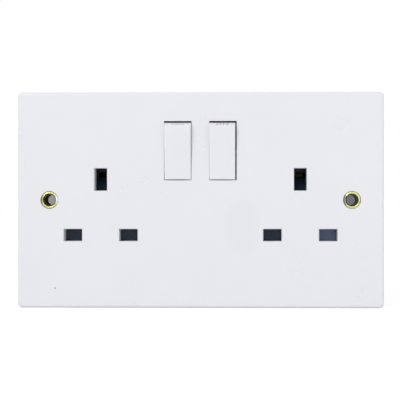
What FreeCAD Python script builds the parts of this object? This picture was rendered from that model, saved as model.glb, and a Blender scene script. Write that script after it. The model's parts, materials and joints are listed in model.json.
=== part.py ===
"""Twin switched wall socket: moulded plate, two rockers, shuttered outlets and a rear contact housing.

Millimetres. X runs right, Y runs back into the wall, Z runs up. The origin is the middle of the
plane where the plate's rim meets the wall, half way between the two fixing holes. Both switches
are built in their ON position and both shutters closed.
"""
import FreeCAD, Part
import math
import os

# Front plate
plate_width = 146.0
plate_height = 86.0
plate_depth = 9.5
face_thickness = 3.5
rim_thickness = 2.4
corner_radius = 1.6
edge_radius = 1.2
rib_height = 1.4
rib_thickness = 1.2
rib_pitch = 24.0

# Fixing holes and their brass eyelets
fixing_pitch = 120.6
fixing_bore = 4.0
eyelet_mouth = 5.2
eyelet_tube = 5.8
eyelet_flange = 7.0
eyelet_lip = 0.25
flange_thickness = 0.6
boss_width = 9.6
boss_setback = 1.8

# Outlets
outlet_pitch = 79.6
pin_spacing = 22.2
pin_row_z = -14.0
flat_slot_width = 7.3
flat_slot_height = 4.8
earth_slot_width = 5.05
earth_slot_height = 8.9
slot_chamfer = 0.3
slot_collar = 3.0
collar_wall = 1.2
pin_thickness = 3.97
earth_pin_height = 7.92

# Rockers
rocker_pitch = 18.0
rocker_z = 19.48
window_width = 10.9
window_length = 23.47
window_lift = 0.2
rocker_side_gap = {"left": 0.13, "right": 0.27}
rocker_end_gap = 0.44
rocker_rise = 1.43
rocker_tilt = 7.0
rocker_wall = 1.5
rocker_end_wall = 3.0
rocker_edge = 0.6
rocker_shift = {"left": -0.01, "right": -0.24}
pivot_depth = 4.5
trunnion_width = 2.4
trunnion_length = 1.4
stem_width = 4.6
plunger_width = 2.4

# Shutters
shutter_thickness = 2.4
shutter_travel = 5.5
shutter_cover = 0.6
shutter_bar_height = 6.9
shutter_spring_length = 10.9
shutter_spring_width = 2.6

# Contacts, bars and terminals
strip = 0.8
strap = 0.4
strap_width = 4.4
clip_squeeze = 0.27
clip_mouth = 5.2
clip_width = 6.0
deck_thickness = 3.6
line_clip_length = 10.0
bar_spacing = 3.1
line_run_z = -4.0
neutral_drop = 9.0
bar_width = 6.0
lead_width = 5.0
seesaw_width = 4.6
seesaw_arm = 9.0
seesaw_tilt = 5.0
tip_width = 3.0
tip_height = 0.7
terminal_width = 7.6
terminal_depth = 7.4
terminal_height = 7.8
wire_way = 4.6

# Housing and screws
cover_thickness = 2.6
shroud_height = 1.2
shroud_wall = 1.1
housing_wall = 1.3
housing_corner = 2.0
frame_rib = 1.6
cover_screw_places = ((-50.0, 24.0), (50.0, 24.0), (0.0, -10.0))
cover_screw_width = 2.9
cover_screw_head = 5.4
cover_screw_head_height = 1.6
terminal_screw_width = 3.9
terminal_screw_head = 5.8
terminal_screw_head_height = 2.0

# Clearances
fit_gap = 0.15
slide_gap = 0.25
running_gap = 0.08
eyelet_gap = 0.05

# Depths, from the face back to the cover
face_y = -plate_depth
face_back_y = face_y + face_thickness
pivot_y = face_y + pivot_depth
collar_y = face_back_y + slot_collar
shutter_y = collar_y + slide_gap
deck_y = shutter_y + shutter_thickness + slide_gap
clip_mouth_y = deck_y + deck_thickness
line_plane_y = clip_mouth_y + line_clip_length
seesaw_y = line_plane_y - 1.1
bar_plane_y = line_plane_y + strip + bar_spacing
housing_back_y = bar_plane_y + strip + strap
cover_back_y = housing_back_y + cover_thickness
terminal_y = bar_plane_y - terminal_depth / 2
boss_end_y = -boss_setback

# Places across and up the plate
outlet_x = outlet_pitch / 2
fixing_x = fixing_pitch / 2
switch_x = rocker_pitch / 2
earth_z = pin_row_z + pin_spacing
clip_half = clip_mouth / 2 + strip
shutter_half = pin_spacing / 2 + flat_slot_width / 2 + 1.6
shutter_top_z = pin_row_z + flat_slot_height / 2 + shutter_cover
shutter_bottom_z = shutter_top_z - shutter_bar_height
arm_half = earth_slot_width / 2 + 0.8
ramp_foot_z = earth_z - earth_slot_height / 2 - 0.3
ramp_top_z = earth_z - earth_pin_height / 2 + shutter_travel - 0.2
ramp_y = shutter_y + ramp_top_z - ramp_foot_z
earth_mouth_y = ramp_y + 1.2
fixed_z = rocker_z + seesaw_arm * math.cos(math.radians(seesaw_tilt))
neutral_bar_z = pin_row_z - neutral_drop
housing_half = outlet_x + shutter_half + slide_gap + 1.9
housing_top_z = fixed_z + terminal_height / 2 + housing_wall
housing_bottom_z = shutter_bottom_z - shutter_spring_length - frame_rib
strap_tab = boss_width / 2 - 0.6
notch_x = fixing_x - boss_width / 2 - 3.0
notch_half = boss_width / 2 + 3.8
earth_terminal_x = (switch_x + seesaw_width / 2 + outlet_x - clip_half) / 2
end_radius = math.hypot(window_length / 2, pivot_depth)
rocker_radius = end_radius - rocker_end_gap
seesaw_front_y = seesaw_y - strip
stem_end_y = seesaw_front_y - 5.2
plunger_tip_y = seesaw_front_y - 0.05
plunger_back_y = stem_end_y - 5.4
spring_seat_y = face_y - rocker_rise + rocker_wall + 0.3
tip_swing = (seesaw_arm + tip_width / 2) * math.sin(math.radians(seesaw_tilt))
fixed_front_y = seesaw_y + tip_height + tip_swing + 0.05
pad_seat = tip_width / 2 + 0.8
wing_reach = switch_x + tip_width / 2 + 1.0
ridge_radius = strip - 0.1
SIDES = (("left", -1), ("right", 1))


def block(x0, x1, y0, y1, z0, z1):
    return Part.makeBox(x1 - x0, y1 - y0, z1 - z0, FreeCAD.Vector(x0, y0, z0))


def rod_x(radius, x0, x1, y, z):
    return Part.makeCylinder(radius, x1 - x0, FreeCAD.Vector(x0, y, z), FreeCAD.Vector(1, 0, 0))


def rod_y(radius, x, z, y0, y1):
    return Part.makeCylinder(radius, y1 - y0, FreeCAD.Vector(x, y0, z), FreeCAD.Vector(0, 1, 0))


def joined(shapes):
    return shapes[0].fuse(shapes[1:]).removeSplitter()


def less(shape, tools):
    return shape.cut(tools).removeSplitter()


def face_of(points):
    return Part.Face(Part.makePolygon([FreeCAD.Vector(*p) for p in points + points[:1]]))


def prism_x(profile, x0, x1):
    return face_of([(x0, y, z) for y, z in profile]).extrude(FreeCAD.Vector(x1 - x0, 0, 0))


def prism_z(profile, z0, z1):
    return face_of([(x, y, z0) for x, y in profile]).extrude(FreeCAD.Vector(0, 0, z1 - z0))


def turned(profile, x, z):
    """Solid of revolution about the line along Y at (x, z), from (radius, y) points."""
    axis = FreeCAD.Vector(0, 1, 0)
    return face_of([(x + r, y, z) for r, y in profile]).revolve(FreeCAD.Vector(x, 0, z), axis, 360)


def tipped(shape, y, z, angle):
    copy = shape.copy()
    copy.rotate(FreeCAD.Vector(0, y, z), FreeCAD.Vector(1, 0, 0), angle)
    return copy


def slab(half, z0, z1, radius, y0, y1):
    """Upright slab with its four corners rounded."""
    body = block(-half, half, y0, y1, z0, z1)
    corners = [e for e in body.Edges if abs(e.Vertexes[0].Y - e.Vertexes[1].Y) > (y1 - y0) / 2]
    return body.makeFillet(radius, corners)


def front_edges(body, y):
    return [e for e in body.Edges if abs(e.BoundBox.YMin - y) < 1e-4 and abs(e.BoundBox.YMax - y) < 1e-4]


def slot_cutter(x, z, width, height):
    """Straight slot through the face and its collar, with a small chamfer round its front edge."""
    rings = []
    for y, grow in ((face_y, slot_chamfer), (face_y + slot_chamfer, 0.0)):
        w = width / 2 + grow
        h = height / 2 + grow
        corners = [(x - w, y, z - h), (x + w, y, z - h), (x + w, y, z + h), (x - w, y, z + h)]
        rings.append(Part.makePolygon([FreeCAD.Vector(*p) for p in corners + corners[:1]]))
    mouth = Part.makeLoft(rings, True, True)
    body = block(x - width / 2, x + width / 2, face_y, collar_y, z - height / 2, z + height / 2)
    return mouth.fuse(body)


def flat_slot_places():
    """Neutral and line slot of each outlet, seen from the front: neutral left, line right."""
    half = pin_spacing / 2
    return [(side * outlet_x + hand * half, pin_row_z) for name, side in SIDES for hand in (-1, 1)]


def slots():
    """Every pin slot as (x, z, width, height)."""
    places = [(x, z, flat_slot_width, flat_slot_height) for x, z in flat_slot_places()]
    return places + [(side * outlet_x, earth_z, earth_slot_width, earth_slot_height) for name, side in SIDES]


def slot_collars():
    """Walls that carry each slot on from the back of the face to the shutter."""
    walls = []
    for x, z, width, height in slots():
        w = width / 2 + collar_wall
        h = height / 2 + collar_wall
        walls.append(block(x - w, x + w, face_back_y - 0.5, collar_y, z - h, z + h))
    return walls


def back_ribs():
    """Low ribs that stiffen the face between the frame and the rim."""
    wide = plate_width / 2 - rim_thickness / 2
    high = plate_height / 2 - rim_thickness / 2
    end_y = face_back_y + rib_height
    half = rib_thickness / 2
    ribs = []
    for step in (-2, -1, 0, 1, 2):
        x = step * rib_pitch
        ribs.append(block(x - half, x + half, face_back_y - 0.5, end_y, housing_top_z - frame_rib / 2, high))
        ribs.append(block(x - half, x + half, face_back_y - 0.5, end_y, -high, housing_bottom_z + frame_rib / 2))
    for name, side in SIDES:
        near = side * (housing_half - frame_rib / 2)
        far = side * wide
        for z in (-rib_pitch, rib_pitch):
            ribs.append(block(min(near, far), max(near, far), face_back_y - 0.5, end_y, z - half, z + half))
    return ribs


def notched(body, y0, y1):
    """Leaves room at each end for the back box's fixing lugs."""
    tools = []
    for name, side in SIDES:
        far = side * (housing_half + 1.0)
        near = side * notch_x
        tools.append(block(min(near, far), max(near, far), y0 - 1, y1 + 1, -notch_half, notch_half))
    return less(body, tools)


def front_plate():
    inner_half = plate_width / 2 - rim_thickness
    inner_high = plate_height / 2 - rim_thickness
    body = slab(plate_width / 2, -plate_height / 2, plate_height / 2, corner_radius, face_y, 0.0)
    body = body.makeFillet(edge_radius, front_edges(body, face_y))
    hollow = block(-inner_half, inner_half, face_back_y, 1.0, -inner_high, inner_high)
    body = less(body, [hollow])

    raised = []
    frame = block(-housing_half, housing_half, face_back_y, deck_y, housing_bottom_z, housing_top_z)
    opening = block(-housing_half + frame_rib, housing_half - frame_rib, face_back_y - 1, deck_y + 1,
                    housing_bottom_z + frame_rib, housing_top_z - frame_rib)
    raised.append(notched(frame.cut(opening), face_back_y, deck_y))
    for name, side in SIDES:
        raised.append(rod_y(boss_width / 2, side * fixing_x, 0.0, face_back_y - 0.5, boss_end_y))
        raised += shutter_guides(side * outlet_x)
    for x, z in cover_screw_places:
        half = cover_screw_head / 2
        raised.append(block(x - half, x + half, face_back_y - 0.5, deck_y, z - half, z + half))
    body = joined([body] + raised + rocker_bearings() + slot_collars() + back_ribs())

    cuts = [slot_cutter(*slot) for slot in slots()]
    for name, side in SIDES:
        cuts.append(rod_y(eyelet_tube / 2 + eyelet_gap, side * fixing_x, 0.0, face_y - 1, 0.0))
        cuts.append(rod_y(eyelet_flange / 2 + eyelet_gap, side * fixing_x, 0.0, face_y - 1,
                          face_y + flange_thickness))
        room = strap_tab + fit_gap
        cuts.append(block(side * fixing_x - room, side * fixing_x + room, boss_end_y, 0.0, -room, room))
        cuts += rocker_window(side * switch_x)
    for x, z in cover_screw_places:
        cuts.append(rod_y(cover_screw_width / 2 + eyelet_gap, x, z, face_y + 1.2, deck_y + 1))
    return less(body, cuts)


def shutter_guides(x):
    """Rails, upper stops and spring guides that stand on the back of the face."""
    rails = []
    low_z = shutter_bottom_z - shutter_travel - 0.5
    for hand in (-1, 1):
        inner = x + hand * (shutter_half + slide_gap)
        outer = x + hand * (shutter_half + slide_gap + 1.4)
        stop = x + hand * (shutter_half - 1.2)
        rails.append(block(min(inner, outer), max(inner, outer), face_back_y - 0.5, deck_y,
                           low_z, shutter_top_z + 1.4))
        rails.append(block(min(stop, outer), max(stop, outer), face_back_y - 0.5, deck_y,
                           shutter_top_z, shutter_top_z + 1.4))
        near = x + hand * (shutter_spring_width / 2 + slide_gap)
        away = near + hand * 0.9
        rails.append(block(min(near, away), max(near, away), face_back_y - 0.5, deck_y,
                           housing_bottom_z, housing_bottom_z + frame_rib + 4.4))
    return rails


def rocker_bearings():
    """Blocks beside the windows, each with seats for the rockers' trunnions."""
    seat = trunnion_width / 2 + running_gap
    reach = trunnion_length + 1.6
    inside = switch_x - window_width / 2
    outside = switch_x + window_width / 2
    bodies = []
    for x0, x1 in ((-outside - reach, -outside), (-inside, inside), (outside, outside + reach)):
        bodies.append(block(x0, x1, face_back_y - 0.5, deck_y,
                            rocker_z - seat - 1.3, rocker_z + seat + 1.3))
    return bodies


def rocker_window(x):
    """Opening whose ends follow the rocker's arc, with the seats its trunnions drop into."""
    seat = trunnion_width / 2 + running_gap
    half = window_width / 2
    middle_z = rocker_z + window_lift
    arc = rod_x(end_radius, x - half, x + half, pivot_y, middle_z)
    band = block(x - half, x + half, face_y - 1, pivot_y,
                 middle_z - end_radius - 1, middle_z + end_radius + 1)
    back = block(x - half, x + half, pivot_y, deck_y + 1, middle_z - end_radius, middle_z + end_radius)
    long = half + trunnion_length + 0.3
    bed = rod_x(seat, x - long, x + long, pivot_y, rocker_z)
    way = block(x - long, x + long, pivot_y, deck_y + 1, rocker_z - seat, rocker_z + seat)
    return [arc.common(band), back, bed, way]


def eyelet(x):
    """Rolled brass lining of a fixing hole, clinched at the back over the earth strap."""
    bore = fixing_bore / 2
    mouth = eyelet_mouth / 2
    tube = eyelet_tube / 2
    flange = eyelet_flange / 2
    roll_y = boss_end_y + strap
    profile = [(bore, roll_y + 0.7), (bore, face_y + 2.6), (mouth, face_y - eyelet_lip),
               (flange, face_y + 0.15), (flange, face_y + flange_thickness),
               (tube, face_y + flange_thickness), (tube, roll_y),
               (tube + 0.8, roll_y), (tube + 0.8, roll_y + 0.7)]
    return turned(profile, x, 0.0)


def rocker(name, side):
    """Rocker tipped ON: arc-shaped ends round the pivot, skirts down to two trunnions, a sprung stem."""
    x = side * switch_x + rocker_shift[name]
    half = window_width / 2 - rocker_side_gap[name]
    top_y = face_y - rocker_rise
    edge_y = pivot_y - 0.2
    arc = rod_x(rocker_radius, x - half, x + half, pivot_y, rocker_z)
    band = block(x - half - 1, x + half + 1, top_y, edge_y, rocker_z - 20, rocker_z + 20)
    body = arc.common(band)
    body = body.makeFillet(rocker_edge, front_edges(body, top_y))
    hollow = half - rocker_wall
    inner = rod_x(rocker_radius - rocker_wall, x - hollow, x + hollow, pivot_y, rocker_z)
    room = block(x - half, x + half, top_y + rocker_wall, edge_y + 1, rocker_z - 20, rocker_z + 20)
    tools = [inner.common(room)]
    skirt_y = top_y + rocker_end_wall
    below = [(skirt_y, 20.0), (skirt_y, rocker_radius - 2 * rocker_wall), (edge_y + 1, rocker_radius / 2),
             (edge_y + 1, 20.0)]
    for hand in (-1, 1):
        tools.append(prism_x([(y, rocker_z + hand * z) for y, z in below], x - half - 1, x + half + 1))
    body = less(body, tools)
    long = half + trunnion_length
    parts = [body]
    for hand in (-1, 1):
        a = x + hand * half
        b = a - hand * rocker_wall
        parts.append(block(min(a, b), max(a, b), edge_y - 1, pivot_y + 1.35,
                           rocker_z - 2.0, rocker_z + 2.0))
        c = x + hand * long
        parts.append(rod_x(trunnion_width / 2, min(b, c), max(b, c), pivot_y, rocker_z))
    parts.append(rod_y(stem_width / 2, x, rocker_z, top_y + rocker_wall - 0.5, stem_end_y))
    body = joined(parts)
    body = less(body, [rod_y(plunger_width / 2 + running_gap, x, rocker_z, spring_seat_y, stem_end_y + 1)])
    return tipped(body, pivot_y, rocker_z, rocker_tilt)


def coil(radius, wire, length, turns):
    """Coil spring along Z from the origin, its ends ground flat, in flat facets."""
    sides = 4
    steps = 6
    count = int(turns * steps)
    rise = length - wire
    rings = []
    for i in range(count + 1):
        turn = 2 * math.pi * i / steps
        ring = []
        for j in range(sides):
            a = 2 * math.pi * (j + 0.5) / sides
            r = radius + wire / 2 * math.cos(a)
            z = wire / 2 + rise * i / count + wire / 2 * math.sin(a)
            ring.append((r * math.cos(turn), r * math.sin(turn), z))
        rings.append(ring)
    faces = [face_of(rings[0]), face_of(rings[-1])]
    for low, high in zip(rings, rings[1:]):
        for j in range(sides):
            k = (j + 1) % sides
            faces.append(face_of([low[j], low[k], high[k]]))
            faces.append(face_of([low[j], high[k], high[j]]))
    return Part.makeSolid(Part.makeShell(faces))


def rocker_spring(name, side):
    x = side * switch_x + rocker_shift[name]
    wire = 0.34
    body = coil(plunger_width / 2 - wire / 2, wire, plunger_back_y - spring_seat_y, 4)
    body.rotate(FreeCAD.Vector(0, 0, 0), FreeCAD.Vector(1, 0, 0), -90)
    body.translate(FreeCAD.Vector(x, spring_seat_y, rocker_z))
    return tipped(body, pivot_y, rocker_z, rocker_tilt)


def plunger(name, side):
    """Round-nosed pin that the rocker's spring holds against the see-saw contact."""
    x = side * switch_x + rocker_shift[name]
    radius = plunger_width / 2
    profile = [(0.0, plunger_back_y), (radius, plunger_back_y), (radius, plunger_tip_y - 0.8),
               (radius - 0.7, plunger_tip_y), (0.0, plunger_tip_y)]
    return tipped(turned(profile, x, rocker_z), pivot_y, rocker_z, rocker_tilt)


def moving_contact(side):
    """See-saw strip with a pressed ridge that rocks in the lead's saddle."""
    x = side * switch_x
    half = seesaw_width / 2
    blade = block(x - half, x + half, seesaw_front_y, seesaw_y, rocker_z - seesaw_arm - 0.3,
                  rocker_z + seesaw_arm + tip_width / 2 + 0.2)
    ridge = rod_x(ridge_radius, x - half, x + half, seesaw_y, rocker_z)
    return tipped(joined([blade, ridge]), seesaw_y, rocker_z, -seesaw_tilt)


def contact_pad(x, y, z):
    half = tip_width / 2
    return block(x - half, x + half, y, y + tip_height, z - half, z + half)


def moving_tip(side):
    tip = contact_pad(side * switch_x, seesaw_y, rocker_z + seesaw_arm)
    return tipped(tip, seesaw_y, rocker_z, -seesaw_tilt)


def fixed_tip(side):
    return contact_pad(side * switch_x, fixed_front_y, fixed_z)


def spring_leaf(mouth_y, back_y):
    """One leaf of a pin clip as (depth, offset) points: flared mouth, throat, straight tail."""
    grip = (pin_thickness - clip_squeeze) / 2
    wide = clip_mouth / 2
    inner = [(mouth_y, wide), (mouth_y + 3.2, grip), (back_y, wide)]
    return inner + [(y, offset + strip) for y, offset in reversed(inner)]


def flat_clip(x, back_y):
    half = clip_width / 2
    leaf = spring_leaf(clip_mouth_y, back_y)
    upper = prism_x([(y, pin_row_z + d) for y, d in leaf], x - half, x + half)
    lower = prism_x([(y, pin_row_z - d) for y, d in leaf], x - half, x + half)
    web = block(x - half, x + half, back_y, back_y + strip, pin_row_z - clip_half, pin_row_z + clip_half)
    return [upper, lower, web]


def earth_clip(x):
    half = bar_width / 2
    leaf = spring_leaf(earth_mouth_y, bar_plane_y)
    right = prism_z([(x + d, y) for y, d in leaf], earth_z - half, earth_z + half)
    left = prism_z([(x - d, y) for y, d in leaf], earth_z - half, earth_z + half)
    return [right, left]


def line_lead_boxes(side, gap=0.0):
    """Flat runs of a line lead on its own plane, as (x0, x1, z0, z1)."""
    lead = lead_width / 2 + gap
    clip_x = side * outlet_x + pin_spacing / 2
    x = side * switch_x
    low_x = clip_x - clip_width / 2 - gap
    high_x = min(clip_x + clip_width / 2, notch_x - housing_wall) + gap
    run = (min(low_x, x - lead), max(high_x, x + lead), line_run_z - lead, line_run_z + lead)
    rise = (low_x, high_x, pin_row_z + clip_half - strip, line_run_z + lead)
    riser = (x - lead, x + lead, line_run_z - lead, rocker_z + 2.6 + gap)
    return [run, rise, riser]


def line_lead(side):
    """Line clip and the strip that carries it up to the switch, ending in the see-saw's saddle."""
    x = side * switch_x
    half = lead_width / 2
    parts = flat_clip(side * outlet_x + pin_spacing / 2, line_plane_y)
    for x0, x1, z0, z1 in line_lead_boxes(side):
        parts.append(block(x0, x1, line_plane_y, line_plane_y + strip, z0, z1))
    parts.append(block(x - half, x + half, seesaw_y + 0.3, line_plane_y, rocker_z - 1.7, rocker_z + 1.7))
    body = joined(parts)
    groove = rod_x(ridge_radius + running_gap, x - half - 1, x + half + 1, seesaw_y, rocker_z)
    return less(body, [groove])


def line_bar():
    """Feed bar: one wing behind each moving contact and a middle step that takes the terminal."""
    half = pad_seat
    wing_y = fixed_front_y + tip_height
    step = terminal_width / 2 + 0.6
    reach = wing_reach
    parts = [block(-step, step, bar_plane_y, bar_plane_y + strip, fixed_z - half, fixed_z + half)]
    for name, side in SIDES:
        a = side * step
        b = side * (step + strip)
        c = side * reach
        parts.append(block(min(a, b), max(a, b), wing_y, bar_plane_y + strip,
                           fixed_z - half, fixed_z + half))
        parts.append(block(min(a, c), max(a, c), wing_y, wing_y + strip, fixed_z - half, fixed_z + half))
    return less(joined(parts), [screw_way(0.0, fixed_z)])


def screw_way(x, z):
    return rod_y(terminal_screw_width / 2 + fit_gap, x, z, bar_plane_y - 1, bar_plane_y + strip + 1)


def neutral_bar_boxes(gap=0.0):
    half = bar_width / 2 + gap
    left_x = -outlet_x - pin_spacing / 2
    right_x = outlet_x - pin_spacing / 2
    boxes = [(left_x - half, right_x + half, neutral_bar_z - half, neutral_bar_z + half)]
    for x in (left_x, right_x):
        boxes.append((x - half, x + half, neutral_bar_z - half, pin_row_z + clip_half + gap))
    return boxes


def neutral_bar():
    parts = []
    for name, side in SIDES:
        parts += flat_clip(side * outlet_x - pin_spacing / 2, bar_plane_y)
    for x0, x1, z0, z1 in neutral_bar_boxes():
        parts.append(block(x0, x1, bar_plane_y, bar_plane_y + strip, z0, z1))
    return less(joined(parts), [screw_way(0.0, neutral_bar_z)])


def earth_bar():
    half = bar_width / 2
    reach = outlet_x + clip_half
    parts = [block(-reach, reach, bar_plane_y, bar_plane_y + strip, earth_z - half, earth_z + half)]
    for name, side in SIDES:
        parts += earth_clip(side * outlet_x)
    return less(joined(parts), [screw_way(side * earth_terminal_x, earth_z) for name, side in SIDES])


def earth_strap(side):
    """Thin strap from the earth bar round the housing's end to the eyelet."""
    x = side * fixing_x
    inner = side * (outlet_x - clip_half)
    foot = side * (outlet_x + clip_half)
    leg = side * (notch_x + 0.3)
    face = side * (notch_x + 0.3 + strap)
    back_y = bar_plane_y + strip
    half = strap_width / 2
    tab = strap_tab
    parts = [
        block(min(inner, foot), max(inner, foot), back_y, back_y + strap, -half, earth_z + bar_width / 2),
        block(min(inner, face), max(inner, face), back_y, back_y + strap, -half, half),
        block(min(leg, face), max(leg, face), boss_end_y, back_y + strap, -half, half),
        block(min(leg, x), max(leg, x), boss_end_y, boss_end_y + strap, -half, half),
        block(x - tab, x + tab, boss_end_y, boss_end_y + strap, -tab, tab),
    ]
    hole = rod_y(eyelet_tube / 2 + eyelet_gap, x, 0.0, boss_end_y - 1, boss_end_y + strap + 1)
    return less(joined(parts), [hole])


def terminal_places():
    """Screw centre of each terminal and the way (up or down) its wire leaves."""
    return {
        "line_terminal": (0.0, fixed_z, 1),
        "neutral_terminal": (0.0, neutral_bar_z, -1),
        "earth_terminal_left": (-earth_terminal_x, earth_z, 1),
        "earth_terminal_right": (earth_terminal_x, earth_z, 1),
    }


def terminal(x, z):
    """Brass block with a wire tunnel up it and a screw hole from behind."""
    half = terminal_width / 2
    high = terminal_height / 2
    body = block(x - half, x + half, bar_plane_y - terminal_depth, bar_plane_y, z - high, z + high)
    uprights = [e for e in body.Edges if e.BoundBox.ZLength > terminal_height - 0.1]
    body = body.makeChamfer(0.6, uprights)
    way = wire_way / 2
    tunnel = block(x - way, x + way, terminal_y - way, terminal_y + way, z - high - 1, z + high + 1)
    hole = rod_y(terminal_screw_width / 2 + eyelet_gap, x, z, terminal_y, bar_plane_y + 1)
    return less(body, [tunnel, hole])


def terminal_screws():
    """Terminal screws, backed off clear of the wire tunnels."""
    screws = []
    seat_y = bar_plane_y + strip + 0.2
    end_y = seat_y + terminal_screw_head_height
    for x, z, way in terminal_places().values():
        shank = rod_y(terminal_screw_width / 2, x, z, terminal_y + wire_way / 2 + 0.05, seat_y)
        head = rod_y(terminal_screw_head / 2, x, z, seat_y, end_y)
        screws.append(joined([shank, head]))
    return Part.makeCompound(screws)


def cover_screws():
    """Screws from the cover through the housing into the plate's bosses."""
    screws = []
    end_y = cover_back_y + cover_screw_head_height
    for x, z in cover_screw_places:
        shank = rod_y(cover_screw_width / 2, x, z, face_y + 1.4, cover_back_y)
        head = rod_y(cover_screw_head / 2, x, z, cover_back_y, end_y)
        screws.append(joined([shank, head]))
    return Part.makeCompound(screws)


def shutter(side):
    """Sliding shutter: a bar over the flat slots and an arm that ends in the earth pin's ramp."""
    x = side * outlet_x
    back_y = shutter_y + shutter_thickness
    bar = block(x - shutter_half, x + shutter_half, shutter_y, back_y, shutter_bottom_z, shutter_top_z)
    profile = [(shutter_y, shutter_bottom_z), (shutter_y, ramp_foot_z), (ramp_y, ramp_top_z),
               (ramp_y + 0.6, ramp_top_z), (ramp_y + 0.6, ramp_foot_z + 1.0),
               (back_y, ramp_foot_z + 0.4 - ramp_y + back_y), (back_y, shutter_bottom_z)]
    return joined([bar, prism_x(profile, x - arm_half, x + arm_half)])


def shutter_spring(side):
    wire = 0.4
    body = coil(shutter_spring_width / 2 - wire / 2, wire, shutter_spring_length, 5)
    middle_y = shutter_y + shutter_thickness / 2
    body.translate(FreeCAD.Vector(side * outlet_x, middle_y, housing_bottom_z + frame_rib))
    return body


def housing():
    """Contact housing: a deck with pin ways in front, pockets for every contact from behind."""
    body = slab(housing_half, housing_bottom_z, housing_top_z, housing_corner, deck_y, housing_back_y)
    body = notched(body, deck_y, housing_back_y)
    posts = []
    for name, side in SIDES:
        for hand in (-1, 1):
            near = side * switch_x + hand * (window_width / 2 + 0.15)
            far = near + hand * (trunnion_length - 0.1)
            posts.append(block(min(near, far), max(near, far), pivot_y + trunnion_width / 2 + running_gap,
                               deck_y + 0.5, rocker_z - trunnion_width / 2 + 0.1,
                               rocker_z + trunnion_width / 2 - 0.1))
    body = joined([body] + posts)
    return less(body, pin_ways() + switch_pockets() + contact_pockets() + terminal_pockets() + screw_ways())


def pin_ways():
    tools = []
    for x, z in flat_slot_places():
        tools.append(block(x - flat_slot_width / 2, x + flat_slot_width / 2, deck_y - 1, clip_mouth_y,
                           z - flat_slot_height / 2, z + flat_slot_height / 2))
    half = arm_half + slide_gap
    for name, side in SIDES:
        x = side * outlet_x
        low_z = ramp_foot_z - ramp_y + deck_y - shutter_travel - 0.4
        high_z = earth_z + earth_slot_height / 2
        tools.append(block(x - half, x + half, deck_y - 1, ramp_y + 0.9, low_z, high_z))
    return tools


def switch_pockets():
    """Stem opening through the deck and the cell behind it, for each switch."""
    tools = []
    sway = (stem_end_y - pivot_y) * math.sin(math.radians(rocker_tilt)) + stem_width / 2 + 0.4
    wide = stem_width / 2 + 0.6
    cell = seesaw_width / 2 + 0.8
    end = seesaw_arm + tip_width / 2 + 0.9
    cell_y = seesaw_front_y - end * math.sin(math.radians(seesaw_tilt)) - 0.4
    for name, side in SIDES:
        x = side * switch_x
        tools.append(block(x - wide, x + wide, deck_y - 1, cell_y + 1, rocker_z - sway, rocker_z + sway))
        tools.append(block(x - cell, x + cell, cell_y, housing_back_y + 1, rocker_z - end, rocker_z + end))
    return tools


def contact_pockets():
    """Pockets open to the back, each its contact's outline grown by the fit gap."""
    tools = []
    wide = clip_width / 2 + fit_gap
    deep = clip_half + fit_gap
    end_y = housing_back_y + 1
    for x, z in flat_slot_places():
        tools.append(block(x - wide, x + wide, clip_mouth_y - fit_gap, end_y, z - deep, z + deep))
    for name, side in SIDES:
        for x0, x1, z0, z1 in line_lead_boxes(side, fit_gap):
            tools.append(block(x0, x1, line_plane_y, end_y, z0, z1))
        x = side * outlet_x
        high = bar_width / 2 + fit_gap
        tools.append(block(x - deep, x + deep, ramp_y + 0.5, end_y, earth_z - high, earth_z + high))
        inner = side * (outlet_x - clip_half - fit_gap)
        outer = side * (notch_x + 1.0)
        foot = side * (outlet_x + clip_half + fit_gap)
        edge = strap_width / 2 + fit_gap
        tools.append(block(min(inner, outer), max(inner, outer), bar_plane_y + strip, end_y, -edge, edge))
        tools.append(block(min(inner, foot), max(inner, foot), bar_plane_y + strip, end_y, -edge, earth_z))
    for x0, x1, z0, z1 in neutral_bar_boxes(fit_gap):
        tools.append(block(x0, x1, bar_plane_y, end_y, z0, z1))
    reach = outlet_x + clip_half + fit_gap
    half = bar_width / 2 + fit_gap
    tools.append(block(-reach, reach, bar_plane_y, end_y, earth_z - half, earth_z + half))
    wing = wing_reach + fit_gap
    high = pad_seat + fit_gap
    tools.append(block(-wing, wing, fixed_front_y + tip_height, end_y, fixed_z - high, fixed_z + high))
    return tools


def terminal_pockets():
    tools = []
    half = terminal_width / 2 + fit_gap
    high = terminal_height / 2 + fit_gap
    duct = wire_way / 2 + fit_gap
    for x, z, way in terminal_places().values():
        tools.append(block(x - half, x + half, bar_plane_y - terminal_depth, housing_back_y + 1,
                           z - high, z + high))
        edge = housing_top_z + 1 if way > 0 else housing_bottom_z - 1
        tools.append(block(x - duct, x + duct, terminal_y - duct, terminal_y + duct,
                           min(z, edge), max(z, edge)))
    return tools


def screw_ways():
    half = cover_screw_width / 2 + fit_gap
    return [block(x - half, x + half, deck_y - 1, housing_back_y + 1, z - half, z + half)
            for x, z in cover_screw_places]


def rear_cover():
    """Cover that shuts the contacts in, with a shrouded hole over each terminal screw."""
    body = slab(housing_half, housing_bottom_z, housing_top_z, housing_corner, housing_back_y, cover_back_y)
    rim = [e for e in body.Edges if abs(e.BoundBox.YMin - cover_back_y) < 1e-4]
    body = notched(body.makeChamfer(0.6, rim), housing_back_y, cover_back_y)
    hole = terminal_screw_head / 2 + 0.5
    end_y = cover_back_y + shroud_height
    shrouds = []
    cuts = []
    for x, z, way in terminal_places().values():
        shrouds.append(rod_y(hole + shroud_wall, x, z, housing_back_y, end_y))
        cuts.append(rod_y(hole, x, z, housing_back_y - 1, end_y + 1))
    body = joined([body] + shrouds)
    for x, z in cover_screw_places:
        cuts.append(rod_y(cover_screw_width / 2 + fit_gap, x, z, housing_back_y - 1, cover_back_y + 1))
    return less(body, cuts)


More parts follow.
